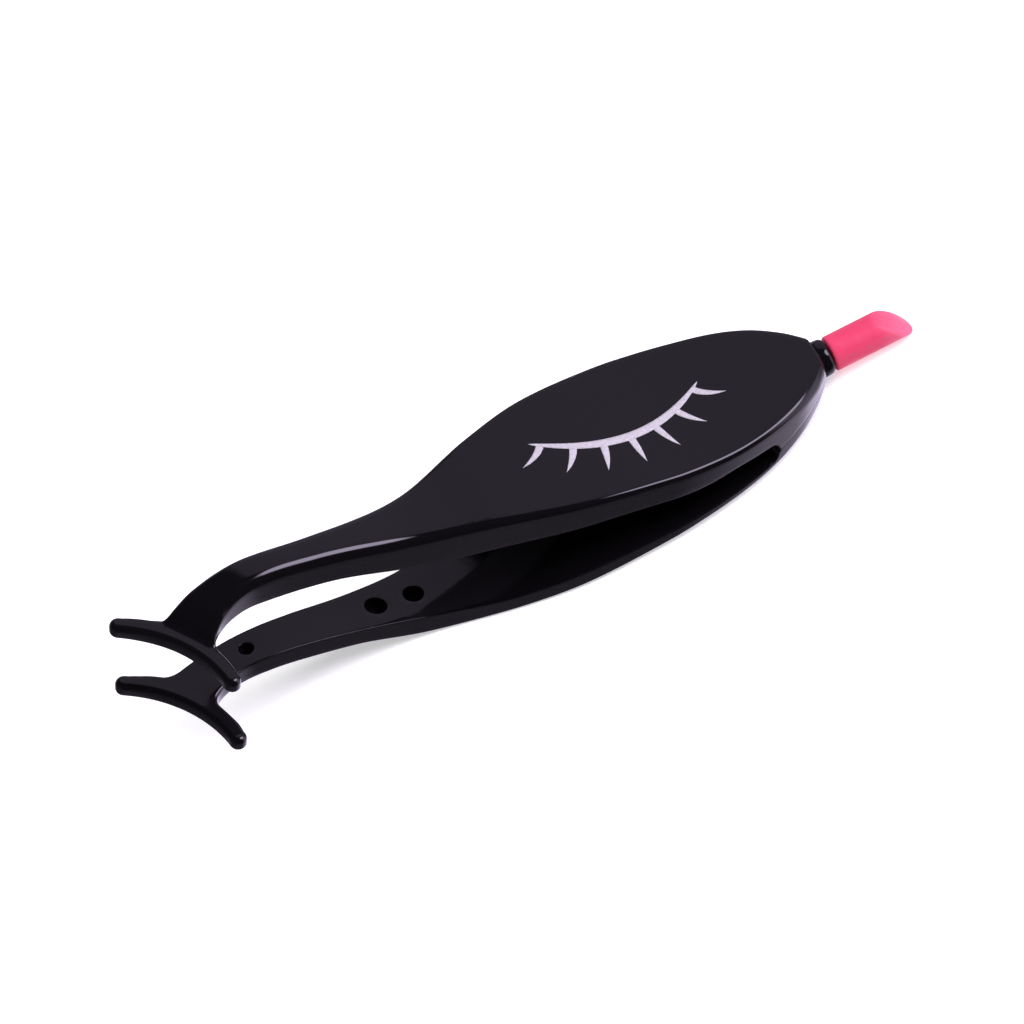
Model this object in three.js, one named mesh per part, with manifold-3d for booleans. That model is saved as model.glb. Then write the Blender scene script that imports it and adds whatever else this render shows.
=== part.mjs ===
// One-hand applicator tweezers for strips of false lashes.
// Two bowed arms with leaf-shaped grips carry crescent jaws, and spring from a tail block that holds a
// silicone placing tip. Lengths are in millimetres. The body is drawn lying along x, with the jaws at
// x = 0 and the tail's end at x = 109, then tilted so that it rests on the lower grip's belly.

import * as THREE from "three";
import { mergeVertices } from "three/addons/utils/BufferGeometryUtils.js";
import Module from "manifold-3d";

// Plan of both arms: straight from the tail to the neck, then the head turns to the near side.
const HEAD_ANGLE = THREE.MathUtils.degToRad(29.5);
const HEAD_START = 3;
const HEAD_END = 16;

// Side and plan profiles: [distance behind the jaws, height or half width].
const UPPER_OUTER = [[2, 1.2], [8, 4.9], [16, 7.1], [26, 6.5], [43, 4.8], [56, 6.4], [68, 7.1], [90, 6.6],
  [102, 7.4], [109.4, 7.9]];
const UPPER_INNER = [[2, -1.2], [6, 0.9], [12, 1.6], [18, 1.4], [28, 0.7], [43, -1.4], [56, 0.8], [70, 2.3], [84, 2.2],
  [90, 3], [97, 3.5]];
const LOWER_INNER = [[2, -11.6], [8, -11], [18, -10], [24, -10.2], [32, -11.1], [40, -11.9], [44, -12.1],
  [50, -11.5], [56, -10.2], [70, -6.3], [90, -1.7], [97, -0.2]];
const LOWER_OUTER = [[2, -14.2], [12, -13.9], [20, -13.6], [32, -14.6], [43, -15.8], [54, -13.5], [84, -4.8],
  [100, -0.6], [109.4, 2.1]];
const LOWER_HALF_WIDTH = [[2, 4.8], [7, 3.7], [12, 3.1], [18, 3.2], [23, 3.3], [34, 3.9], [44, 5.4], [56, 9.3], [66, 11.8],
  [79, 13], [86, 12.8], [92, 12.2], [98, 10.8]];
const HALF_WIDTH = [[2, 4.8], [7, 3.8], [14, 2.9], [23, 2.7], [34, 3.4], [44, 5.1], [56, 9.2], [66, 11.8], [79, 13],
  [86, 12.8], [92, 12.2], [98, 10.8], [103, 8.7], [107, 6], [109.4, 3.8]];
const EDGE_RADIUS = 0.9;
const ARM_STEP = 2.5;

// Crescent jaws.
const JAW_CHORD = 20;
const JAW_RISE = 2.5;
const JAW_BAR = 2.7;
const JAW_BEVEL = 0.7;
const UPPER_JAW_Z = 0;
const LOWER_JAW_Z = -12.9;
const LOWER_JAW_SETBACK = 1;

// Tail, split from the arms at the thin spring sections.
const SPLIT_X = 96.6;
const TAIL_END_X = 109;
const TAIL_END_CORNER = 2.6;
const TAIL_STEP = 1.2;
const JOINT_GAP = 0.3;
const CROTCH_RADIUS = 1.6;
const CROTCH_Z = 1.5;

// Tip: a stem in the tail carries the collar and the silicone.
const TIP_PITCH = THREE.MathUtils.degToRad(9.2);
const TIP_FOOT = new THREE.Vector3(109.4, 0, 4.95);
const STEM_RADIUS = 1.3;
const STEM_SUNK = 6;
const STEM_PROUD = 7.5;
const COLLAR_RADIUS = 2.9;
const COLLAR_LENGTH = 2;
const COLLAR_CHAMFER = 0.4;
const TIP_RADIUS = 2.75;
const TIP_LENGTH = 13.5;
const TIP_CUT_ANGLE = THREE.MathUtils.degToRad(44);

// Blind holes in the lower arm's inner face: [distance behind the jaws, radius].
const HOLES = [[15.2, 1.13], [36.7, 1.68], [42.9, 1.55]];
const HOLE_DEPTH = 2;
const DRILL_LENGTH = 10;

// Resting pose.
const REST_TILT = THREE.MathUtils.degToRad(14.3);
const BELLY_FLAT_X = 48;
const BELLY_FLAT_DEPTH = 0.12;

// Size of the blocks and rods that cut a shape right through.
const CUTTER = 60;

const wasm = await Module();
wasm.setup();

const blackPlastic = () => new THREE.MeshStandardMaterial({ color: 0x151318, roughness: 0.16, metalness: 0 });
const pinkSilicone = () => new THREE.MeshStandardMaterial({ color: 0xf8568c, roughness: 0.42, metalness: 0 });

function solidFrom(geometry) {
  const bare = geometry.index ? geometry.toNonIndexed() : geometry.clone();
  bare.deleteAttribute("normal");
  bare.deleteAttribute("uv");
  const merged = mergeVertices(bare, 1e-4);
  return new wasm.Manifold(new wasm.Mesh({
    numProp: 3,
    vertProperties: new Float32Array(merged.attributes.position.array),
    triVerts: new Uint32Array(merged.index.array),
  }));
}

function geometryFrom(solid) {
  const mesh = solid.getMesh();
  const geometry = new THREE.BufferGeometry();
  geometry.setAttribute("position", new THREE.BufferAttribute(new Float32Array(mesh.vertProperties), 3));
  geometry.setIndex(new THREE.BufferAttribute(new Uint32Array(mesh.triVerts), 1));
  geometry.computeVertexNormals();
  return geometry;
}

// A smooth profile through a few points, read back as height at a distance.
function profile(points) {
  const curve = new THREE.SplineCurve(points.map(([x, z]) => new THREE.Vector2(x, z)));
  const fine = curve.getPoints(300);
  return (x) => {
    const last = fine.length - 1;
    if (x <= fine[0].x) return fine[0].y;
    if (x >= fine[last].x) return fine[last].y;
    const k = fine.findIndex((p) => p.x > x);
    const part = (x - fine[k - 1].x) / (fine[k].x - fine[k - 1].x);
    return THREE.MathUtils.lerp(fine[k - 1].y, fine[k].y, part);
  };
}

// Place and heading of the arms' centre line in plan, at a distance behind the jaws.
function plan(distance) {
  if (distance >= HEAD_END) return { x: distance, y: 0, heading: 0 };
  const radius = (HEAD_END - HEAD_START) / HEAD_ANGLE;
  const turned = Math.min((HEAD_END - distance) / radius, HEAD_ANGLE);
  const straight = Math.max(HEAD_START - distance, 0);
  return {
    x: HEAD_END - radius * Math.sin(turned) - straight * Math.cos(turned),
    y: -radius * (1 - Math.cos(turned)) - straight * Math.sin(turned),
    heading: turned,
  };
}

// One cross-section: a rounded rectangle across the centre line.
function section(distance, halfWidth, bottom, top, corner) {
  const { x, y, heading } = plan(distance);
  const radius = Math.min(corner, halfWidth, (top - bottom) / 2);
  const corners = [[1, 1], [-1, 1], [-1, -1], [1, -1]];
  const ring = [];
  corners.forEach(([across, up], quarter) => {
    for (let step = 0; step <= 3; step++) {
      const angle = (quarter + step / 3) * Math.PI / 2;
      const side = across * (halfWidth - radius) + radius * Math.cos(angle);
      const height = (up > 0 ? top - radius : bottom + radius) + radius * Math.sin(angle);
      ring.push(new THREE.Vector3(x - side * Math.sin(heading), y + side * Math.cos(heading), height));
    }
  });
  return ring;
}

// A closed skin through a row of rings, with a fan over each end.
function loft(rings) {
  const count = rings[0].length;
  const points = rings.flat();
  const index = [];
  for (let ring = 0; ring < rings.length - 1; ring++) {
    for (let k = 0; k < count; k++) {
      const a = ring * count + k;
      const b = ring * count + (k + 1) % count;
      index.push(a, b, a + count, b, b + count, a + count);
    }
  }
  const foot = points.length;
  points.push(centreOf(rings[0]), centreOf(rings[rings.length - 1]));
  const lastRing = (rings.length - 1) * count;
  for (let k = 0; k < count; k++) {
    const next = (k + 1) % count;
    index.push(foot, next, k, foot + 1, lastRing + k, lastRing + next);
  }
  const geometry = new THREE.BufferGeometry().setFromPoints(points);
  geometry.setIndex(index);
  return geometry;
}

function centreOf(ring) {
  return ring.reduce((sum, p) => sum.add(p), new THREE.Vector3()).divideScalar(ring.length);
}

function stations(from, to, step) {
  const count = Math.round((to - from) / step);
  return Array.from({ length: count + 1 }, (_, k) => from + (to - from) * k / count);
}

// A crescent bar, concave to the front, its ends rounded.
function jawSolid(height, setback) {
  const radius = (JAW_CHORD ** 2 / 4 + JAW_RISE ** 2) / (2 * JAW_RISE);
  const half = Math.asin(JAW_CHORD / 2 / radius);
  const bar = JAW_BAR / 2;
  const shape = new THREE.Shape();
  shape.absarc(0, 0, radius + bar, -half, half, false);
  shape.absarc(radius * Math.cos(half), radius * Math.sin(half), bar, half, half + Math.PI, false);
  shape.absarc(0, 0, radius - bar, half, -half, true);
  shape.absarc(radius * Math.cos(half), -radius * Math.sin(half), bar, Math.PI - half, 2 * Math.PI - half, false);
  const geometry = new THREE.ExtrudeGeometry(shape, {
    depth: JAW_BAR - 2 * JAW_BEVEL, bevelThickness: JAW_BEVEL, bevelSize: JAW_BEVEL, bevelOffset: -JAW_BEVEL,
    bevelSegments: 2, curveSegments: 14,
  });
  geometry.translate(-radius * Math.cos(half), 0, JAW_BEVEL - JAW_BAR / 2);
  const { x, y, heading } = plan(0);
  geometry.rotateZ(heading);
  geometry.translate(x + setback, y, height);
  return solidFrom(geometry);
}

function armSolid(inner, outer, isUpper) {
  const halfWidth = profile(isUpper ? HALF_WIDTH : LOWER_HALF_WIDTH);
  const innerAt = profile(inner);
  const outerAt = profile(outer);
  const rings = stations(HALF_WIDTH[0][0], SPLIT_X - JOINT_GAP / 2, ARM_STEP).map((distance) => {
    const bottom = isUpper ? innerAt(distance) : outerAt(distance);
    const top = isUpper ? outerAt(distance) : innerAt(distance);
    return section(distance, halfWidth(distance), bottom, top, EDGE_RADIUS);
  });
  return solidFrom(loft(rings));
}

function cylinder(radius, length, sides = 32) {
  return new THREE.CylinderGeometry(radius, radius, length, sides);
}

function holeSolid([distance, radius]) {
  const floor = profile(LOWER_INNER)(distance) - HOLE_DEPTH;
  const { x, y } = plan(distance);
  const bore = cylinder(radius, DRILL_LENGTH, 24).rotateX(Math.PI / 2);
  return solidFrom(bore.translate(x, y, floor + DRILL_LENGTH / 2));
}

function upperArm() {
  return armSolid(UPPER_INNER, UPPER_OUTER, true).add(jawSolid(UPPER_JAW_Z, 0));
}

function lowerArm() {
  const arm = armSolid(LOWER_INNER, LOWER_OUTER, false).add(jawSolid(LOWER_JAW_Z, LOWER_JAW_SETBACK));
  const holed = HOLES.reduce((solid, hole) => solid.subtract(holeSolid(hole)), arm);
  return holed.subtract(bellyCutter());
}

// The plane that the tool rests on takes a shallow flat off the lower grip's belly.
function bellyCutter() {
  const slab = new THREE.BoxGeometry(CUTTER, CUTTER, CUTTER).translate(0, 0, -CUTTER / 2);
  slab.rotateY(-REST_TILT);
  return solidFrom(slab.translate(BELLY_FLAT_X, 0, profile(LOWER_OUTER)(BELLY_FLAT_X) + BELLY_FLAT_DEPTH));
}

// Points a shape made along +z down the tip's own axis, from the tail's end.
function alongTip(geometry, start) {
  geometry.rotateY(Math.PI / 2 - TIP_PITCH);
  const forward = new THREE.Vector3(Math.cos(TIP_PITCH), 0, Math.sin(TIP_PITCH));
  const foot = TIP_FOOT.clone().addScaledVector(forward, start);
  return geometry.translate(foot.x, foot.y, foot.z);
}

function tailBlock() {
  const halfWidth = profile(HALF_WIDTH);
  const topAt = profile(UPPER_OUTER);
  const bottomAt = profile(LOWER_OUTER);
  const rings = stations(SPLIT_X + JOINT_GAP / 2, TAIL_END_X, TAIL_STEP).map((distance) => {
    const rounding = THREE.MathUtils.smoothstep(distance, SPLIT_X, TAIL_END_X);
    const corner = THREE.MathUtils.lerp(EDGE_RADIUS, TAIL_END_CORNER, rounding);
    return section(distance, halfWidth(distance), bottomAt(distance), topAt(distance), corner);
  });
  const crotch = cylinder(CROTCH_RADIUS, CUTTER).translate(SPLIT_X + JOINT_GAP / 2, 0, CROTCH_Z);
  const bore = cylinder(STEM_RADIUS + JOINT_GAP, CUTTER).rotateX(Math.PI / 2);
  const socket = alongTip(bore, CUTTER / 2 - STEM_SUNK - JOINT_GAP);
  return solidFrom(loft(rings)).subtract(solidFrom(crotch)).subtract(solidFrom(socket));
}

function tipStem() {
  const length = STEM_SUNK + STEM_PROUD;
  return solidFrom(alongTip(cylinder(STEM_RADIUS, length).rotateX(Math.PI / 2), length / 2 - STEM_SUNK));
}

function tipCollar() {
  const bore = STEM_RADIUS + JOINT_GAP;
  const outline = [[bore, 0], [COLLAR_RADIUS, 0], [COLLAR_RADIUS, COLLAR_LENGTH - COLLAR_CHAMFER],
    [COLLAR_RADIUS - COLLAR_CHAMFER, COLLAR_LENGTH], [bore, COLLAR_LENGTH], [bore, 0]];
  const ring = new THREE.LatheGeometry(outline.map(([r, z]) => new THREE.Vector2(r, z)), 32);
  return solidFrom(alongTip(ring.rotateX(Math.PI / 2), JOINT_GAP));
}

// A sleeve of silicone, closed at its far end and cut across on a slant.
function siliconeTip() {
  const start = JOINT_GAP * 2 + COLLAR_LENGTH;
  const sleeve = alongTip(cylinder(TIP_RADIUS, TIP_LENGTH).rotateX(Math.PI / 2), start + TIP_LENGTH / 2);
  const depth = STEM_PROUD + JOINT_GAP;
  const bore = alongTip(cylinder(STEM_RADIUS + JOINT_GAP, depth).rotateX(Math.PI / 2), depth / 2);
  const slab = new THREE.BoxGeometry(CUTTER, CUTTER, CUTTER).translate(0, 0, CUTTER / 2);
  slab.rotateY(-TIP_CUT_ANGLE);
  const cutter = alongTip(slab, start + TIP_LENGTH - TIP_RADIUS * Math.tan(TIP_CUT_ANGLE));
  return solidFrom(sleeve).subtract(solidFrom(bore)).subtract(solidFrom(cutter));
}

const body = new THREE.Group();

function place(name, solid, material) {
  const mesh = new THREE.Mesh(geometryFrom(solid), material);
  mesh.name = name;
  body.add(mesh);
}

place("tail_block", tailBlock(), blackPlastic());
place("upper_arm", upperArm(), blackPlastic());
place("lower_arm", lowerArm(), blackPlastic());
place("tip_collar", tipCollar(), blackPlastic());
place("tip_stem", tipStem(), blackPlastic());
place("silicone_tip", siliconeTip(), pinkSilicone());

// The tail tips down about the belly, and the origin goes to the middle of the box at its foot.
body.rotation.y = REST_TILT;
const applicator = new THREE.Group();
applicator.add(body);
applicator.updateMatrixWorld(true);
const box = new THREE.Box3().setFromObject(applicator, true);
const middle = box.getCenter(new THREE.Vector3());
body.position.set(-middle.x, -middle.y, -box.min.z);

export default applicator;
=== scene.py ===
import math

import bmesh
import bpy
import numpy as np
from mathutils import Matrix, Vector
from mathutils.geometry import delaunay_2d_cdt


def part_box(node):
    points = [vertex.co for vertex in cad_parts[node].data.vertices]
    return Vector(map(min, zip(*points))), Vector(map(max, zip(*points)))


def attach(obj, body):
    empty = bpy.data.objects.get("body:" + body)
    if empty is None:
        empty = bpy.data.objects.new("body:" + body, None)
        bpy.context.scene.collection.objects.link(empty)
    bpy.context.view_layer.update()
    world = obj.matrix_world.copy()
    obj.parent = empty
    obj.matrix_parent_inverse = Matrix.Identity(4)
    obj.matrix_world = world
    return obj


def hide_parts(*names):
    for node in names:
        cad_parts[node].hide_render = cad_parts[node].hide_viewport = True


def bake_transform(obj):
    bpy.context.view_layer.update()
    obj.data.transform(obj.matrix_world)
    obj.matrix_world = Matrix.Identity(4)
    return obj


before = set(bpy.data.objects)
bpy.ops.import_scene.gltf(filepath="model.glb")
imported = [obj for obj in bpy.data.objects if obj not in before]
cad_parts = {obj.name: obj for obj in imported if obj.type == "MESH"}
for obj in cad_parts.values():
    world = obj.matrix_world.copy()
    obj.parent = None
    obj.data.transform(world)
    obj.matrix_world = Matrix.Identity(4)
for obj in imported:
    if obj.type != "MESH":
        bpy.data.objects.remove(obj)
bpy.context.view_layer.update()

# ---------------------------------------------------------------------------------------------------------
# Upper moulding: the upper arm with its crescent jaw, its leaf grip and the upper half of the tail.
# It is one injection moulding in black ABS, polished in the mould, and it springs at the thin root where
# the slot between the arms ends. Sizes are millimetres in the tool's own drawing axes, jaws at x = 0.

REST_TILT = math.radians(14.3)
TIP_PITCH = math.radians(9.2)
TIP_FOOT = np.array([109.4, 0.0, 4.95])
TIP_WAY = np.array([math.cos(TIP_PITCH), 0.0, math.sin(TIP_PITCH)])
STEM_MIDDLE = 0.75
MM = 0.001


def tilted(points):
    """Turns points about y by the resting tilt: x' = x cos t + z sin t and z' = z cos t - x sin t."""
    p = np.asarray(points, float)
    cos, sin = math.cos(REST_TILT), math.sin(REST_TILT)
    return np.stack([p[..., 0] * cos + p[..., 2] * sin, p[..., 1], p[..., 2] * cos - p[..., 0] * sin], -1)


stem_low, stem_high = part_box("tip_stem")
STAND = np.array((stem_low + stem_high) / 2) - tilted(TIP_FOOT + STEM_MIDDLE * TIP_WAY) * MM


def placed(points):
    """Drawing axes to the frame: tilt, scale to metres, and move so that the stem falls on its CAD box."""
    return tilted(points) * MM + STAND


def eased(points):
    """Cubic through the points whose slope at each is the chord between its neighbours, as a function that
    reads the value at any distance along: on a span, h00 a + h10 d ma + h01 b + h11 d mb."""
    x, y = np.array(points, float).T
    slope = np.empty_like(y)
    slope[1:-1] = (y[2:] - y[:-2]) / (x[2:] - x[:-2])
    slope[0], slope[-1] = (y[1] - y[0]) / (x[1] - x[0]), (y[-1] - y[-2]) / (x[-1] - x[-2])

    def value(at):
        at = np.clip(at, x[0], x[-1])
        k = np.clip(np.searchsorted(x, at, side="right") - 1, 0, len(x) - 2)
        d = x[k + 1] - x[k]
        t = (at - x[k]) / d
        return ((2 * t**3 - 3 * t**2 + 1) * y[k] + (t**3 - 2 * t**2 + t) * d * slope[k]
                + (3 * t**2 - 2 * t**3) * y[k + 1] + (t**3 - t**2) * d * slope[k + 1])

    return value


HEAD_ANGLE = math.radians(29.5)
HEAD_START, HEAD_END = 3.0, 16.0
HEAD_RADIUS = (HEAD_END - HEAD_START) / HEAD_ANGLE


def on_centre_line(points):
    """(distance along, distance across, height) to x, y, z: the centre line is straight from the tail to the
    neck, then an arc of HEAD_RADIUS to the near side, then straight; across is square to it."""
    along, across, height = np.moveaxis(np.asarray(points, float), -1, 0)
    turned = np.clip((HEAD_END - along) / HEAD_RADIUS, 0, HEAD_ANGLE)
    straight = np.maximum(HEAD_START - along, 0)
    sin, cos = np.sin(turned), np.cos(turned)
    x = np.maximum(along, HEAD_END) - HEAD_RADIUS * sin - straight * cos - across * sin
    y = -HEAD_RADIUS * (1 - cos) - straight * sin + across * cos
    return np.stack([x, y, height], -1)


LEAF = [[66, 11.8], [79, 12.95], [86, 12.8], [92, 12.1], [98, 10.7], [103, 8.7], [107, 6.1], [109.4, 3.8]]
half_width = eased([[-2, 4.9], [2, 4.7], [7, 3.7], [14, 2.95], [23, 2.85], [34, 3.6], [44, 5.25], [56, 9.2],
                    *LEAF])
TAIL_END = 109.4
PATCH_END = 8.0
JAW_CHORD, JAW_RISE, JAW_BAR = 20.0, 2.5, 2.66
JAW_STEP, END_STEP, FRONT_STEP = 0.1, 0.15, 0.35
JAW_SWELL = 0.55
JAW_RADIUS = (JAW_CHORD**2 / 4 + JAW_RISE**2) / (2 * JAW_RISE)
JAW_HALF = math.asin(JAW_CHORD / 2 / JAW_RADIUS)


def arc(radius, start, stop, step, centre=(0.0, 0.0)):
    """Points of a circle from one angle to another, spaced by step: centre + radius (cos a, sin a)."""
    count = max(3, int(abs(stop - start) * radius / step))
    a = np.linspace(start, stop, count + 1)
    return np.stack([centre[0] + radius * np.cos(a), centre[1] + radius * np.sin(a)], -1)


def jaw_side(width, shift, blend_neck, blend_bar, stations, side):
    """One side of the plan outline, from the tail to the middle of the jaw's front edge: the arm's half
    width, a quadratic fillet with its corner where arm and jaw bar meet, the bar's back edge, its half-round
    end and its front edge. The back edge swells by JAW_SWELL (1 - (2 y / chord) squared) to the power 0.7.
    side is 1 for the far side and -1 for the near one."""
    middle = np.array([-JAW_RADIUS * math.cos(JAW_HALF), 0.0])
    back = arc(JAW_RADIUS + JAW_BAR / 2, 0.02, JAW_HALF, JAW_STEP, middle) * [1, side]
    back[:, 0] += JAW_SWELL * np.clip(1 - (back[:, 1] / JAW_CHORD * 2) ** 2, 0, 1) ** 0.7
    back = back + shift
    over = np.abs(back[:, 1]) - width(back[:, 0])
    meet = int(np.argmax(over > 0))
    corner = back[meet]
    bar_from = meet + int(blend_bar / JAW_STEP)
    neck = np.stack([stations, side * width(stations)], -1)
    neck = neck[neck[:, 0] > corner[0] + blend_neck]
    t = np.linspace(0, 1, 12)[1:-1, None]
    fillet = (1 - t) ** 2 * neck[-1] + 2 * t * (1 - t) * corner + t**2 * back[bar_from]
    end_centre = np.array([0.0, side * JAW_CHORD / 2]) + shift
    end = arc(JAW_BAR / 2, JAW_HALF, JAW_HALF + math.pi, END_STEP) * [1, side] + end_centre
    front = arc(JAW_RADIUS - JAW_BAR / 2, JAW_HALF, 0, FRONT_STEP, middle) * [1, side] + shift
    return np.concatenate([neck, fillet, back[bar_from:-1:3], end, front[1:]])


def outward(outline):
    """Unit normals of an open outline, from the chord between each point's neighbours turned a quarter."""
    chord = np.gradient(outline, axis=0)
    normal = np.stack([chord[:, 1], -chord[:, 0]], -1)
    return normal / np.linalg.norm(normal, axis=1, keepdims=True)


def inside(points, ring):
    """Even-odd test: a point is inside where a ray to the right crosses the ring an odd number of times."""
    x, y = points[:, :1], points[:, 1:]
    ax, ay = ring[:, 0], ring[:, 1]
    bx, by = np.roll(ax, -1), np.roll(ay, -1)
    spans = (ay > y) != (by > y)
    crossing = ax + (y - ay) * (bx - ax) / np.where(by == ay, 1e-9, by - ay)
    return (spans & (x < crossing)).sum(1) % 2 == 1


def filled(ring, holes, grid, gap):
    """Triangles over a plan region: the ring, the holes and the grid points that stand clear of both by gap,
    joined by a constrained Delaunay mesh. Returns the grid points that were kept and the triangles."""
    rims = np.concatenate([ring, *holes])
    clear = np.full(len(grid), True)
    for part in np.array_split(np.arange(len(grid)), 12):
        away = np.linalg.norm(grid[part, None] - rims[None], axis=2).min(1)
        clear[part] = (away > gap) & inside(grid[part], ring)
        for hole in holes:
            clear[part] &= ~inside(grid[part], hole)
    kept = grid[clear]
    loops, first = [], 0
    for loop in (ring, *holes):
        k = np.arange(len(loop))
        loops += np.stack([first + k, first + (k + 1) % len(loop)], -1).tolist()
        first += len(loop)
    points = np.concatenate([rims, kept])
    made = delaunay_2d_cdt([Vector(p) for p in points.tolist()], loops, [], 0, 1e-6)
    back_to = np.array([origin[0] for origin in made[3]])
    triangles = back_to[np.array([face for face in made[2] if len(face) == 3])]
    centres = points[triangles].mean(1)
    good = inside(centres, ring)
    for hole in holes:
        good &= ~inside(centres, hole)
    return kept, triangles[good]


SLOT_X, SLOT_Z, SLOT_DEEP = 96.6, 1.55, 1.6
SLOT_ROWS = SLOT_X + SLOT_DEEP * np.sin(np.linspace(0, math.pi / 2, 9))
BEND_STEPS = 7
WALL_SHARES = (0.25, 0.5, 0.75)
TAIL_LANES = 9
HOLE_SIDES = 48
HOLE_PROFILE = ((0.06, 0.02), (0.09, 0.08), (0.1, 0.3))
HOLE_TAPER, HOLE_FLOOR, HOLE_LEVEL = 0.12, 0.3, 0.2
GRID_CLEAR = 0.33
GRID_ALONG = np.concatenate([np.arange(-1.5, 8, 0.45), np.arange(8, 96.2, 0.9), SLOT_ROWS,
                             np.arange(98.7, 109, 0.6)])
GRID_ACROSS = np.concatenate([-np.arange(0.3, 14, 0.8)[::-1], np.arange(0.5, 14, 0.8)])


def wrapped(a):
    """Quads between each row of point numbers and the next, where every row closes on itself."""
    b = np.roll(a, -1, 1)
    return np.stack([a[:-1], b[:-1], b[1:], a[1:]], -1).reshape(-1, 4).tolist()


def moulding(name, outline, top, bottom, top_edge, bottom_edge, holes=(), hole_depth=0.0):
    """A moulded arm as one closed skin over a plan outline. Going down the rim, the outline is drawn in by
    r (1 - cos a) while it falls by r (1 - sin a), so both edges are quarter rounds of radius r, with a wall
    between them. The two faces follow the heights top and bottom. Blind holes are lathed rings that go down
    from the top face; below HOLE_LEVEL they no longer follow its slope. Inside their rounded rims they take
    the second material."""
    normal = outward(outline)
    flat = np.clip((outline[:, 0] - PATCH_END) / 4, 0, 1)[:, None]
    normal = normal * (1 - flat) + np.stack([np.zeros(len(outline)), np.sign(outline[:, 1])], -1) * flat
    normal /= np.linalg.norm(normal, axis=1, keepdims=True)
    angle = np.linspace(math.pi / 2, 0, BEND_STEPS)
    levels = []
    for a in angle:
        r = top_edge(outline[:, 0])
        plan = outline - normal * (r * (1 - math.cos(a)))[:, None]
        levels.append(np.column_stack([plan, top(plan[:, 0]) - r * (1 - math.sin(a))]))
    for share in WALL_SHARES:
        high = top(outline[:, 0]) - top_edge(outline[:, 0])
        low = bottom(outline[:, 0]) + bottom_edge(outline[:, 0])
        levels.append(np.column_stack([outline, high + (low - high) * share]))
    for a in angle[::-1]:
        r = bottom_edge(outline[:, 0])
        plan = outline - normal * (r * (1 - math.cos(a)))[:, None]
        levels.append(np.column_stack([plan, bottom(plan[:, 0]) + r * (1 - math.sin(a))]))
    levels = np.array(levels)
    rows, count = levels.shape[:2]
    points = [levels.reshape(-1, 3)]
    bored = []
    total = rows * count
    a = np.arange(rows - 1)[:, None] * count + np.arange(count - 1)[None]
    faces = np.stack([a, a + 1, a + count + 1, a + count], -1).reshape(-1, 4).tolist()
    end_rows = []
    for level, height, cut in ((0, top, holes), (rows - 1, bottom, ())):
        rim = levels[level][:, :2]
        across = np.linspace(rim[-1, 1], rim[0, 1], TAIL_LANES)[1:-1]
        end_row = np.column_stack([np.full(len(across), TAIL_END), across])
        ring = np.concatenate([rim, end_row])
        grid = np.stack(np.meshgrid(GRID_ALONG, GRID_ACROSS, indexing="ij"), -1).reshape(-1, 2)
        t = np.linspace(0, 2 * math.pi, HOLE_SIDES + 1)[:-1]
        rings = [np.stack([x + r * np.cos(t), r * np.sin(t)], -1) for x, r in cut]
        kept, triangles = filled(ring, rings, grid, GRID_CLEAR)
        own = np.concatenate([end_row, *rings, kept])
        points.append(np.column_stack([own, height(own[:, 0])]))
        index = np.concatenate([level * count + np.arange(count), total + np.arange(len(own))])
        faces += index[triangles].tolist()
        end_rows.append(total + np.arange(len(end_row)))
        hole_first = total + len(end_row)
        total += len(own)
        for k, (x, r) in enumerate(cut):
            shape = [(r - inset, -fall) for inset, fall in HOLE_PROFILE]
            shape += [(r - HOLE_TAPER, -hole_depth), (HOLE_FLOOR, -hole_depth)]
            for q, d in shape:
                face = height(x + q * np.cos(t)) if d > -HOLE_LEVEL else np.full(HOLE_SIDES, height(x))
                points.append(np.column_stack([x + q * np.cos(t), q * np.sin(t), face + d]))
            first_ring = hole_first + k * HOLE_SIDES + np.arange(HOLE_SIDES)
            below = total + np.arange(len(shape) * HOLE_SIDES).reshape(-1, HOLE_SIDES)
            stack = np.vstack([first_ring, below])
            bored += range(len(faces) + HOLE_SIDES, len(faces) + len(shape) * HOLE_SIDES + 1)
            faces += wrapped(stack)
            faces.append(stack[-1].tolist())
            total += len(shape) * HOLE_SIDES
    far = np.arange(rows) * count
    near = far + count - 1
    end = np.concatenate([far, end_rows[1][::-1], near[::-1], end_rows[0]])
    faces.append(end.tolist())
    piece = solid(name, on_centre_line(np.concatenate(points)), faces)
    for k in bored:
        piece.data.polygons[k].material_index = 1
    return piece


def solid(name, points, faces):
    """A mesh object from drawing-axes points and faces, worn flat where it lies on the table: z = max(z, 0).
    Its seams are merged and its faces turned outwards."""
    mesh = bpy.data.meshes.new(name)
    mesh.from_pydata(np.maximum(placed(points), [-1, -1, 0]).tolist(), [], faces)
    work = bmesh.new()
    work.from_mesh(mesh)
    bmesh.ops.remove_doubles(work, verts=work.verts, dist=1e-7)
    bmesh.ops.recalc_face_normals(work, faces=work.faces)
    work.to_mesh(mesh)
    work.free()
    mesh.polygons.foreach_set("use_smooth", np.ones(len(mesh.polygons), bool))
    piece = bpy.data.objects.new(name, mesh)
    bpy.context.scene.collection.objects.link(piece)
    return piece


upper_arm_inner = eased([[-2, -1.3], [2, -1.3], [6, 0.9], [12, 1.6], [18, 1.4], [28, 0.7], [43, -1.4],
                         [56, 0.8], [70, 2.3], [84, 2.2], [90, 3], [SLOT_X, 3.45]])


def seam(along):
    """Height where the two mouldings meet: a straight line from the slot's end to the tip's foot."""
    t = np.clip((along - SLOT_X - SLOT_DEEP) / (TAIL_END - SLOT_X - SLOT_DEEP), 0, 1)
    return SLOT_Z + (TIP_FOOT[2] - SLOT_Z) * t


def slot_end(along):
    """Share of the slot's half height that is left: sqrt(1 - u u), a quarter ellipse SLOT_DEEP long."""
    u = np.clip((along - SLOT_X) / SLOT_DEEP, 0, 1)
    return np.sqrt(1 - u * u)


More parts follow.
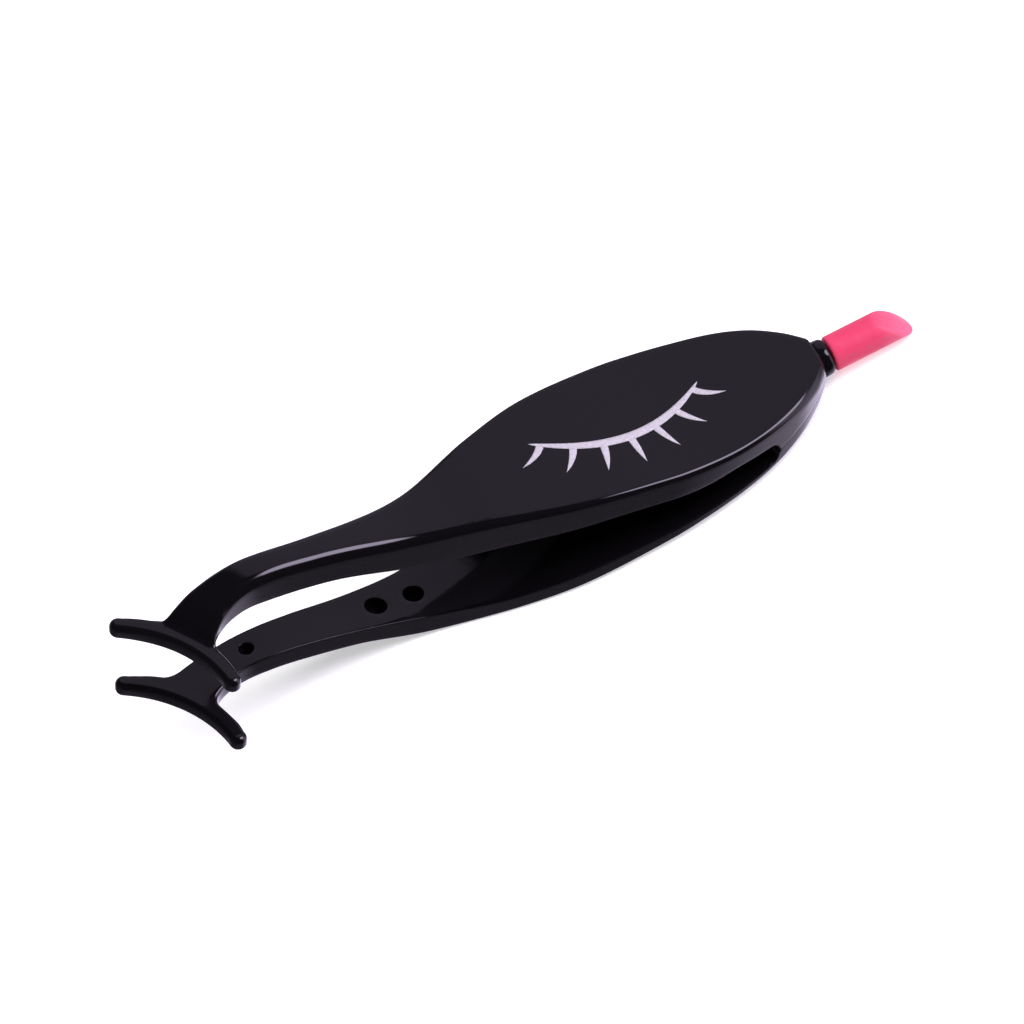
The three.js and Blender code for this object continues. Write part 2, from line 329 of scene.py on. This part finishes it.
def upper_inner(along):
    """The arm's inner face, then down the slot's rounded end, then the seam."""
    past = along > SLOT_X
    curved = seam(along) + (upper_arm_inner(SLOT_X) - SLOT_Z) * slot_end(along)
    return np.where(past, curved, upper_arm_inner(along))


upper_outer = eased([[-2, 1.3], [2.6, 1.3], [3.5, 1.5], [5, 3], [8, 4.95], [16, 7.1], [26, 6.5], [43, 4.8],
                     [56, 6.4], [68, 7.1], [90, 6.6], [102, 7.45], [109.4, 7.9]])
upper_top_edge = eased([[-2, 0.95], [3, 0.95], [10, 1.4], [20, 1.7], [36, 1.7], [50, 1.1], [94, 0.85],
                        [103, 1.3], [109.4, 2.4]])
upper_low_edge = eased([[-2, 0.95], [3, 0.95], [8, 0.5], [90, 0.5], [96, 0.3], [99, 0.06], [102, 0.06],
                        [109.4, 0.06]])
ROWS = np.concatenate([np.linspace(TAIL_END, 98.6, 20), SLOT_ROWS[::-1], np.arange(96.1, PATCH_END, -0.55),
                       np.arange(PATCH_END, 2, -0.25)])
far_side = jaw_side(half_width, np.zeros(2), 0.7, 0.7, ROWS, 1)
near_side = jaw_side(half_width, np.zeros(2), 1.3, 1.2, ROWS, -1)
upper = moulding("upper_moulding", np.concatenate([far_side, near_side[-2::-1]]), upper_outer, upper_inner,
                 upper_top_edge, upper_low_edge)


def linear(code):
    """sRGB hex to linear: c / 12.92 below 0.04045, else ((c + 0.055) / 1.055) to the power 2.4."""
    c = np.array([int(code[k:k + 2], 16) for k in (1, 3, 5)]) / 255
    return (*np.where(c <= 0.04045, c / 12.92, ((c + 0.055) / 1.055) ** 2.4).tolist(), 1.0)


def node(tree, kind, links=(), **settings):
    """Adds a node: settings fill properties, or sockets of that name; links are (socket, source)."""
    made = tree.nodes.new(kind)
    for key, value in settings.items():
        if hasattr(made, key):
            setattr(made, key, value)
        else:
            made.inputs[key.replace("_", " ")].default_value = value
    for socket, source in links:
        tree.links.new(source, made.inputs[socket])
    return made


def new_material(name, **shader):
    """A material with one Principled shader, its sockets set from the keywords."""
    material = bpy.data.materials.new(name)
    material.use_nodes = True
    tree = material.node_tree
    tree.nodes.clear()
    principled = node(tree, "ShaderNodeBsdfPrincipled", **shader)
    node(tree, "ShaderNodeOutputMaterial", [("Surface", principled.outputs["BSDF"])])
    return material, tree, principled


def mapped(tree, source, low, high, out_low, out_high):
    """A number taken from one range to another in a straight line, held at the ends."""
    return node(tree, "ShaderNodeMapRange", [("Value", source)], From_Min=low, From_Max=high, To_Min=out_low,
                To_Max=out_high).outputs["Result"]


def polished_abs():
    """Injection-moulded ABS from a polished mould: deep black with a sharp gloss. The mould's polish leaves
    a faint orange peel 1.5 mm across. Handling leaves haze and hair scratches that blur it in places."""
    material, tree, principled = new_material("polished_black_abs", IOR=1.5, Base_Color=linear("#0C0A0D"))
    place = node(tree, "ShaderNodeTexCoord").outputs["Object"]
    peel = node(tree, "ShaderNodeTexNoise", [("Vector", place)], Scale=1 / 0.0015, Detail=2.0, Roughness=0.45)
    haze = node(tree, "ShaderNodeTexNoise", [("Vector", place)], Scale=1 / 0.011, Detail=5.0, Roughness=0.62)
    grain = node(tree, "ShaderNodeTexNoise", [("Vector", place)], Scale=1 / 0.00012, Detail=1.0)
    streak_way = node(tree, "ShaderNodeMapping", [("Vector", place)], Rotation=(0.0, REST_TILT, 0.35),
                      Scale=(60.0, 4200.0, 900.0))
    streak = node(tree, "ShaderNodeTexNoise", [("Vector", streak_way.outputs["Vector"])], Scale=1.0,
                  Detail=3.0)
    worn = mapped(tree, haze.outputs["Fac"], 0.38, 0.68, 0.045, 0.12)
    scratched = mapped(tree, streak.outputs["Fac"], 0.66, 0.76, 0.0, 0.10)
    rough = node(tree, "ShaderNodeMath", [(0, worn), (1, scratched)], operation="ADD")
    tree.links.new(rough.outputs["Value"], principled.inputs["Roughness"])
    fine = node(tree, "ShaderNodeBump", [("Height", grain.outputs["Fac"])], Strength=0.025, Distance=0.00001)
    skin = node(tree, "ShaderNodeBump", [("Height", peel.outputs["Fac"]), ("Normal", fine.outputs["Normal"])],
                Strength=0.22, Distance=0.00003)
    tree.links.new(skin.outputs["Normal"], principled.inputs["Normal"])
    return material


black_abs = polished_abs()
upper.data.materials.append(black_abs)
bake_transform(upper)
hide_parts("upper_arm", "tail_block")

# ---------------------------------------------------------------------------------------------------------
# Lower moulding: the lower arm with its crescent jaw and the lower half of the tail, in the same black ABS.
# Three blind core-pin holes open on its inner face. It meets the upper moulding along the tail's seam.

HOLES = [(15.2, 1.13), (36.7, 1.68), (42.9, 1.55)]
HOLE_DEPTH = 2.0
HOLE_RIM = 0.1
SEAM_GAP = 0.008
JAW_SETBACK = np.array([math.cos(HEAD_ANGLE), -math.sin(HEAD_ANGLE)])
lower_arm_inner = eased([[-2, -11.65], [3, -11.65], [8, -11], [18, -10], [24, -10.2], [32, -11.1],
                         [40, -11.9], [44, -12.1], [50, -11.45], [56, -10.2], [70, -6.3], [90, -1.7],
                         [SLOT_X, -0.2]])
lower_half_width = eased([[-2, 4.9], [2, 4.7], [7, 3.6], [12, 3.1], [18, 3.2], [23, 3.35], [34, 3.9],
                          [44, 5.4], [56, 9.3], *LEAF])


def lower_inner(along):
    """The arm's inner face, then up the slot's rounded end, then just under the seam."""
    past = along > SLOT_X
    return np.where(past, seam(along) - SEAM_GAP - (SLOT_Z - lower_arm_inner(SLOT_X)) * slot_end(along),
                    lower_arm_inner(along))


lower_outer = eased([[-2, -14.2], [3, -14.2], [12, -13.85], [20, -13.5], [32, -14.5], [43, -15.8],
                     [54, -13.5], [84, -4.8], [100, -0.6], [109.4, 2.1]])
lower_top_edge = eased([[-2, 0.9], [3, 0.85], [8, 0.4], [14, 0.15], [50, 0.12], [62, 0.3], [90, 0.35],
                        [96, 0.3], [99, 0.06], [102, 0.06], [109.4, 0.06]])
lower_low_edge = eased([[-2, 0.9], [8, 0.8], [50, 0.8], [60, 0.6], [94, 0.55], [103, 1.2], [109.4, 2.4]])
far_side = jaw_side(lower_half_width, JAW_SETBACK, 1.5, 1.5, ROWS, 1)
near_side = jaw_side(lower_half_width, JAW_SETBACK, 1.2, 1.2, ROWS, -1)
lower = moulding("lower_moulding", np.concatenate([far_side, near_side[-2::-1]]), lower_inner, lower_outer,
                 lower_top_edge, lower_low_edge, [(x, r + HOLE_RIM) for x, r in HOLES], HOLE_DEPTH)
lower.data.materials.append(black_abs)

# The bores take a matt black, darker than the arm's plastic. The matt finish follows core pins, which are
# usually left rough; the darker colour is painted shade inside the holes.
bore, tree, principled = new_material("matt_bore_painted_shade", IOR=1.5, Base_Color=linear("#070608"), Roughness=0.7,
                                      Specular_IOR_Level=0.2)
place = node(tree, "ShaderNodeTexCoord").outputs["Object"]
spark = node(tree, "ShaderNodeTexNoise", [("Vector", place)], Scale=1 / 0.0002, Detail=2.0)
tree.links.new(mapped(tree, spark.outputs["Fac"], 0.3, 0.7, 0.6, 0.8), principled.inputs["Roughness"])
lower.data.materials.append(bore)
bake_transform(lower)
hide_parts("lower_arm")

# ---------------------------------------------------------------------------------------------------------
# Printed lash motif: a closed eye with its lashes, pad-printed in pale grey ink on the upper grip.
# The ink stands a few hundredths of a millimetre proud and follows the grip's gentle curve. The lashes stand
# half as proud as the lid, so their tops differ in height where they meet it.

INK_PROUD, INK_SUNK = 0.03, 0.12
MOTIF_AT = np.array([77.6, 0.4])
LID_WIDTH, LID_DROP, LID_THICK = 28.0, 5.4, 1.5
LASHES, LASH_SPAN, LASH_FAN = 7, 0.9, 38
LASH_LONG, LASH_SHORTER, LASH_CURL, LASH_THICK = 5.6, 1.2, 2.2, 1.15
THIN_LID, THIN_LASH = 0.05, 0.06


def stroke(path, widths, proud):
    """A closed ribbon of ink: the path moved to both sides by half its width along its own normal, at the
    height of the grip's face plus proud, with side walls sunk into the face."""
    way = np.gradient(path, axis=0)
    side = np.stack([-way[:, 1], way[:, 0]], -1) / np.linalg.norm(way, axis=1, keepdims=True)
    offsets = np.array([-1.0, -0.5, 0.0, 0.5, 1.0])
    plan = path[:, None] + side[:, None] * (widths[:, None] / 2 * offsets)[..., None]
    top = np.concatenate([plan, (upper_outer(plan[..., 0]) + proud)[..., None]], -1)
    low = top[:, ::-1].copy()
    low[..., 2] -= INK_SUNK
    return np.concatenate([top, low], 1)


def lid_curve(t):
    """The closed lid: across from -1 to 1, a parabola that hangs LID_DROP (1 - t t) to the near side."""
    return np.stack([LID_WIDTH / 2 * t, -LID_DROP * (1 - t * t) + LID_DROP / 2], -1)


t = np.linspace(-1, 1, 61)
strokes = [stroke(MOTIF_AT + lid_curve(t), np.maximum(LID_THICK * (1 - t**2) ** 0.6, THIN_LID), INK_PROUD)]
for root in np.linspace(-LASH_SPAN, LASH_SPAN, LASHES):
    u = np.linspace(0, 1, 25)[:, None]
    start = lid_curve(np.array(root))
    lean = math.radians(270 + LASH_FAN * root)
    reach = np.array([math.cos(lean), math.sin(lean)]) * (LASH_LONG - LASH_SHORTER * root**2)
    curl = np.array([-math.sin(lean), math.cos(lean)]) * root * LASH_CURL
    lash = start + reach * u + curl * u * u
    widths = np.maximum(LASH_THICK * (1 - u[:, 0] ** 2.2), THIN_LASH)
    strokes.append(stroke(MOTIF_AT + lash, widths, INK_PROUD / 2))
points, faces, first = [], [], 0
for rings in strokes:
    count, around = rings.shape[:2]
    a = np.arange(count * around).reshape(count, around) + first
    faces += wrapped(a)
    faces += [a[0].tolist(), a[-1][::-1].tolist()]
    points.append(rings.reshape(-1, 3))
    first += count * around
motif = solid("printed_lash_motif", np.concatenate(points), faces)

# Pad-printing ink: dries matt and slightly grainy over the gloss, a cool pale grey.
ink, tree, principled = new_material("pad_print_ink", IOR=1.48, Base_Color=linear("#D8D2DA"), Roughness=0.5)
place = node(tree, "ShaderNodeTexCoord").outputs["Object"]
speckle = node(tree, "ShaderNodeTexNoise", [("Vector", place)], Scale=1 / 0.00035, Detail=3.0, Roughness=0.6)
tone = node(tree, "ShaderNodeValToRGB", [("Fac", speckle.outputs["Fac"])])
tone.color_ramp.elements[0].position, tone.color_ramp.elements[0].color = 0.3, linear("#A8A2AB")
tone.color_ramp.elements[1].position, tone.color_ramp.elements[1].color = 0.62, linear("#C3BDC6")
tree.links.new(tone.outputs["Color"], principled.inputs["Base Color"])
grit = node(tree, "ShaderNodeBump", [("Height", speckle.outputs["Fac"])], Strength=0.3, Distance=0.00002)
tree.links.new(grit.outputs["Normal"], principled.inputs["Normal"])
motif.data.materials.append(ink)
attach(motif, "upper")

# ---------------------------------------------------------------------------------------------------------
# Collar: a short turned-looking ring moulded in black ABS, between the tail and the silicone. A fine groove
# parts it from the tail, and its far edge is rounded over where the silicone sleeve butts against it.

TIP_SIDE = np.array([0.0, 1.0, 0.0])


def on_tip_axis(radius, angle, along):
    """Cylinder coordinates about the tip's axis: foot + along w + radius (cos a across + sin a up)."""
    r, a, s = np.broadcast_arrays(radius, angle, along)
    return (TIP_FOOT + s[..., None] * TIP_WAY + (r * np.cos(a))[..., None] * TIP_SIDE
            + (r * np.sin(a))[..., None] * np.array([-TIP_WAY[2], 0.0, TIP_WAY[0]]))


collar_profile = np.array([[1.62, 0.05], [2.62, 0.05], [2.62, 0.3], [2.74, 0.36], [2.84, 0.48], [2.88, 0.62],
                           [2.88, 0.9], [2.87, 1.2], [2.85, 1.5], [2.82, 1.78], [2.74, 2.02], [2.6, 2.18],
                           [2.44, 2.3], [1.62, 2.3]])
COLLAR_SIDES = 96
around = np.linspace(0, 2 * math.pi, COLLAR_SIDES + 1)[:-1]
rings = on_tip_axis(collar_profile[:, :1], around[None], collar_profile[:, 1:])
a = np.arange(rings.shape[0] * COLLAR_SIDES).reshape(-1, COLLAR_SIDES)
collar = solid("tip_collar_ring", rings.reshape(-1, 3), wrapped(np.vstack([a, a[:1]])))
collar.data.materials.append(black_abs)
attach(collar, "tail")
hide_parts("tip_collar")
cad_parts["tip_stem"].data.materials.clear()
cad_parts["tip_stem"].data.materials.append(black_abs)

# ---------------------------------------------------------------------------------------------------------
# Silicone tip: a soft pink sleeve moulded in platinum silicone, pushed over the stem and cut on a slant.
# It presses a lash band down without sticking to the glue. Its edges are softly rounded.

TIP_RADIUS, TIP_START, TIP_LENGTH = 2.74, 2.6, 13.5
CUT_SLOPE = math.tan(math.radians(44))
CUT_MIDDLE = TIP_LENGTH - TIP_RADIUS * CUT_SLOPE
EDGE = 0.7
CROWN = 0.35
FOOT_ROUND = 0.28
TIP_SIDES, SIDE_RINGS = 128, 25
around = np.linspace(0, 2 * math.pi, TIP_SIDES + 1)[:-1]
body_share = np.linspace(0, 1, SIDE_RINGS + 1)[1:]
side_radius = np.full((SIDE_RINGS, 1), TIP_RADIUS) + 0.0 * around
side_end = CUT_MIDDLE - CUT_SLOPE * (TIP_RADIUS * np.sin(around)) - EDGE * (1 + 0.3 * np.sin(around))
side_along = FOOT_ROUND + (side_end - FOOT_ROUND)[None] * body_share[:, None]
foot_radius = np.array([1.7, 2.5, 2.66, TIP_RADIUS])[:, None] + 0.0 * around
foot_along = np.array([0.0, 0.0, 0.06, FOOT_ROUND])[:, None] + 0.0 * around
bend = np.linspace(0, math.pi / 2, 9)[1:, None]
bend_radius = TIP_RADIUS - EDGE * (1 - np.cos(bend)) + 0.0 * around
cut_at = CUT_MIDDLE - CUT_SLOPE * np.sin(around) * bend_radius
bend_along = side_end + (cut_at - side_end) * np.sin(bend)
face_share = (1 - np.linspace(0, 1, 16)[1:-1] ** 1.2)[:, None]
face_radius = (TIP_RADIUS - EDGE) * face_share + 0.0 * around
face_along = CUT_MIDDLE - CUT_SLOPE * np.sin(around) * face_radius + CROWN * (1 - face_share**2)
radius = np.concatenate([foot_radius, side_radius, bend_radius, face_radius])
along = np.concatenate([foot_along, side_along, bend_along, face_along]) + TIP_START
skin = on_tip_axis(radius, around[None], along)
a = np.arange(skin.shape[0] * TIP_SIDES).reshape(-1, TIP_SIDES)
faces = wrapped(a)
pole = on_tip_axis(0.0, 0.0, CUT_MIDDLE + CROWN + TIP_START)
last = a[-1]
faces += np.stack([last, np.roll(last, -1), np.full(TIP_SIDES, a.size)], -1).tolist()
faces.append(a[0][::-1].tolist())
tip = solid("silicone_tip_sleeve", np.vstack([skin.reshape(-1, 3), pole[None]]), faces)

# Pink silicone: satin, faintly cloudy, and it lets light through. The paler glow of the thin slanted end is
# painted into its colour: a painted glow, paler towards the point.
silicone, tree, principled = new_material("pink_silicone", IOR=1.41, Base_Color=linear("#DA4368"),
                                          Roughness=0.4, Subsurface_Weight=0.35,
                                          Subsurface_Radius=(1.0, 0.28, 0.4), Subsurface_Scale=0.0018)
place = node(tree, "ShaderNodeTexCoord").outputs["Object"]
point = placed(TIP_FOOT + (TIP_START + TIP_LENGTH) * TIP_WAY)
way = tilted(TIP_WAY)
from_point = node(tree, "ShaderNodeVectorMath", [(0, place)], operation="SUBTRACT")
from_point.inputs[1].default_value = tuple(point)
reach = node(tree, "ShaderNodeVectorMath", [(0, from_point.outputs["Vector"])], operation="DOT_PRODUCT")
reach.inputs[1].default_value = tuple(way)
# Painted glow: the colour pales over the last few millimetres towards the point of the cut.
pale = mapped(tree, reach.outputs["Value"], -0.0068, -0.0008, 0.0, 1.0)
cloud = node(tree, "ShaderNodeTexNoise", [("Vector", place)], Scale=1 / 0.0022, Detail=3.0, Roughness=0.5)
cloudy = mapped(tree, cloud.outputs["Fac"], 0.3, 0.7, -0.12, 0.12)
share = node(tree, "ShaderNodeMath", [(0, pale), (1, cloudy)], operation="ADD", use_clamp=True)
tone = node(tree, "ShaderNodeValToRGB", [("Fac", share.outputs["Value"])])
tone.color_ramp.elements[0].color = linear("#DA4368")
tone.color_ramp.elements[1].color = linear("#E46A8A")
tree.links.new(tone.outputs["Color"], principled.inputs["Base Color"])
bloom = node(tree, "ShaderNodeTexNoise", [("Vector", place)], Scale=1 / 0.0003, Detail=2.0)
satin = mapped(tree, bloom.outputs["Fac"], 0.3, 0.7, 0.34, 0.48)
tree.links.new(satin, principled.inputs["Roughness"])
soft = node(tree, "ShaderNodeBump", [("Height", bloom.outputs["Fac"])], Strength=0.25, Distance=0.00002)
tree.links.new(soft.outputs["Normal"], principled.inputs["Normal"])
tip.data.materials.append(silicone)
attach(tip, "tail")
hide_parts("silicone_tip")

# ---------------------------------------------------------------------------------------------------------
# Studio: a white table that glows a little and a broad fill overhead, neither of them mirrored in the gloss,
# and a sky of glows that is. The sky is bright behind and towards the tip, and nearly dark above in front.

FLOOR_HALF = 1.2
mesh = bpy.data.meshes.new("table_top")
mesh.from_pydata([(-FLOOR_HALF, -FLOOR_HALF, 0), (FLOOR_HALF, -FLOOR_HALF, 0), (FLOOR_HALF, FLOOR_HALF, 0),
                  (-FLOOR_HALF, FLOOR_HALF, 0)], [], [(0, 1, 2, 3)])
table = bpy.data.objects.new("table_top", mesh)
table.location = (0, 0, -0.00005)
bpy.context.scene.collection.objects.link(table)
white, tree, principled = new_material("white_acrylic", Base_Color=linear("#F4F3F2"), Roughness=0.6,
                                       Emission_Color=linear("#FFFFFF"), Emission_Strength=0.5)
mesh.materials.append(white)
table.visible_glossy = False


def drawing_way(x, y, z):
    """A direction in the drawing axes, as a unit vector in the frame."""
    return Vector(tilted((x, y, z))).normalized()


world = bpy.data.worlds.new("studio")
bpy.context.scene.world = world
world.use_nodes = True
tree = world.node_tree
tree.nodes.clear()
ray = node(tree, "ShaderNodeTexCoord").outputs["Generated"]
SKY_BASE = 0.02
SKY_GLOWS = (
    ((0.6, 0.55, 0.58), 0.765, 0.83, 0.43),     # broad: behind, above and towards the tip
    ((0.5, -0.25, 0.83), 0.935, 0.98, 8.0),     # small and strong: high up, towards the tip
    ((0.8, -0.15, -0.58), 0.74, 1.0, 1.25),     # low, towards the tip
    ((0.0, -0.4, -0.92), 0.76, 0.92, 0.2),      # faint: below, a little in front
    ((0.87, -0.42, 0.25), 0.86, 0.96, 1.3),     # beyond the tip, a little in front
    ((0.55, 0.42, -0.73), 0.8, 0.97, 1.5),      # low, behind and towards the tip
    ((-0.1, 0.93, -0.35), 0.75, 0.97, 0.6),     # behind and a little low, so that the far side reads
    ((-0.7, 0.05, -0.7), 0.3, 1.0, 0.12))       # faint and wide: low, beyond the jaws
total = None
for (x, y, z), fades_at, full_at, strength in SKY_GLOWS:
    facing = node(tree, "ShaderNodeVectorMath", [(0, ray)], operation="DOT_PRODUCT")
    facing.inputs[1].default_value = drawing_way(x, y, z)
    least = SKY_BASE if total is None else 0.0
    glow = node(tree, "ShaderNodeMapRange", [("Value", facing.outputs["Value"])],
                interpolation_type="SMOOTHSTEP", From_Min=fades_at, From_Max=full_at, To_Min=least,
                To_Max=strength).outputs["Result"]
    if total is not None:
        glow = node(tree, "ShaderNodeMath", [(0, total), (1, glow)], operation="ADD").outputs["Value"]
    total = glow
backdrop = node(tree, "ShaderNodeBackground", [("Strength", total)], Color=linear("#EEE2FF"))
node(tree, "ShaderNodeOutputWorld", [("Surface", backdrop.outputs["Background"])])

fill = bpy.data.lights.new("overhead_fill", "AREA")
fill.shape, fill.size, fill.energy = "DISK", 0.9, 7.0
overhead = bpy.data.objects.new("overhead_fill", fill)
overhead.location = (0.05, -0.05, 0.8)
overhead.visible_glossy = False
bpy.context.scene.collection.objects.link(overhead)

# ---------------------------------------------------------------------------------------------------------
# Camera: from the near side and above, with the jaws at the lower left, far enough to flatten the depth.

AZIMUTH, ELEVATION = math.radians(-27.5), math.radians(47)
VIEW_WIDTH = 150.588
AIM_RIGHT, AIM_UP = 49.5588, 21.0294
right = np.array([math.cos(AZIMUTH), math.sin(AZIMUTH), 0.0])
back = np.array([math.sin(AZIMUTH) * math.cos(ELEVATION), -math.cos(AZIMUTH) * math.cos(ELEVATION),
                 math.sin(ELEVATION)])
up = np.cross(back, right)
aim = on_centre_line((0.0, 0.0, 0.0)) + right * AIM_RIGHT + up * AIM_UP
lens = bpy.data.cameras.new("camera")
lens.type = "ORTHO"
lens.ortho_scale = VIEW_WIDTH * MM
lens.clip_start, lens.clip_end = 0.01, 10
camera = bpy.data.objects.new("camera", lens)
axes = [Vector(tilted(v)) for v in (right, up, back)]
stand_off = Matrix.Translation(Vector(placed(aim)) + axes[2] * 0.6)
camera.matrix_world = stand_off @ Matrix(axes).transposed().to_4x4()
bpy.context.scene.collection.objects.link(camera)
bpy.context.scene.camera = camera
bpy.context.scene.view_settings.view_transform = "Standard"
